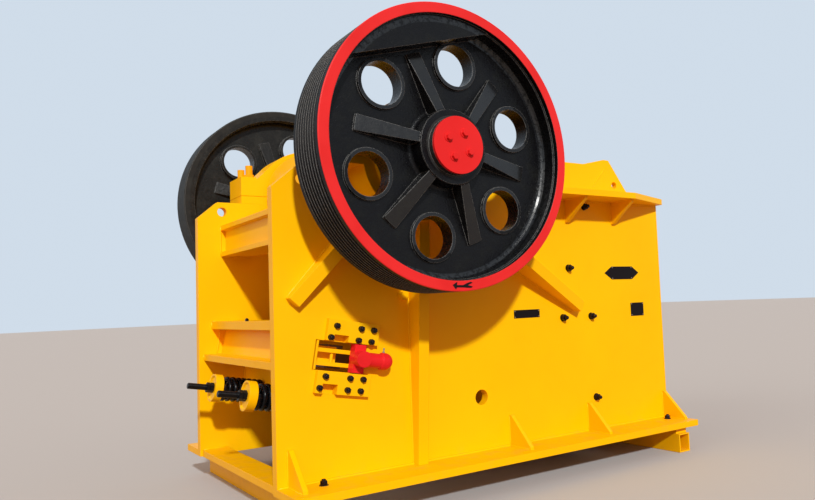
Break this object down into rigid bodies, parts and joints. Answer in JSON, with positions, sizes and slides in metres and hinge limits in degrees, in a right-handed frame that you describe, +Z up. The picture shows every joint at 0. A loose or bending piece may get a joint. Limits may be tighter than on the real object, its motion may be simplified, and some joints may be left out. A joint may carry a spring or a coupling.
{
  "type": "jaw crusher",
  "caption": "Yellow single-toggle jaw crusher on two skid tubes, with black spoked wheels, toothed jaw plates, sprung tension rods and red hydraulic toggle adjustment.",
  "frame": {"origin": "Middle of the overall box on the ground, under the skid tubes.", "axes": "+X towards the feed end and front wall, along the side plates; +Y from the grooved pulley to the flywheel, along the shaft; +Z up."},
  "size_m": [4.5589, 4.016, 3.9],
  "materials": {
    "frame_yellow": "semi-gloss enamel",
    "wheel_black": "gloss enamel over casting",
    "signal_red": "gloss enamel",
    "wear_steel": "cast manganese steel and machined steel",
    "stud_orange": "enamel over steel"
  },
  "bodies": {
    "frame": {"near_side_plate": "frame_yellow", "far_side_plate": "frame_yellow", "near_base_flange": "frame_yellow", "far_base_flange": "frame_yellow", "near_hopper_flange": "frame_yellow", "far_hopper_flange": "frame_yellow", "near_cheek_plate": "frame_yellow", "far_cheek_plate": "frame_yellow", "near_side_rib": "frame_yellow", "far_side_rib": "frame_yellow", "near_side_braces": "frame_yellow", "far_side_braces": "frame_yellow", "front_wall": "frame_yellow", "fixed_jaw_plate": "wear_steel", "near_chamber_liners": "wear_steel", "far_chamber_liners": "wear_steel", "upper_rear_beam": "frame_yellow", "toggle_beam": "frame_yellow", "rear_tie_plate": "frame_yellow", "spring_bracket": "frame_yellow", "near_bearing_housing": "frame_yellow", "far_bearing_housing": "frame_yellow", "housing_studs": "stud_orange", "pitman": "frame_yellow", "moving_jaw_plate": "wear_steel", "toggle_plate": "wear_steel", "toggle_seats": "wear_steel", "adjusting_wedges": "frame_yellow", "near_adjusting_cylinder": "signal_red", "far_adjusting_cylinder": "signal_red", "near_wedge_retainers": "frame_yellow", "far_wedge_retainers": "frame_yellow", "near_tension_rod": "wheel_black", "far_tension_rod": "wheel_black", "near_tension_spring": "wheel_black", "far_tension_spring": "wheel_black", "spring_caps": "frame_yellow", "front_skid": "frame_yellow", "rear_skid": "frame_yellow", "skid_pads": "frame_yellow"},
    "rotor": {"eccentric_shaft": "wear_steel", "drive_pulley": "wheel_black", "flywheel": "wheel_black", "hub_caps": "signal_red"}
  },
  "joints": [
    {"name": "flywheel_spin", "type": "hinge", "parent": "frame", "child": "rotor", "pos_m": [-0.91, 0, 2.8], "axis": [0, 1, 0], "continuous": true}
  ]
}
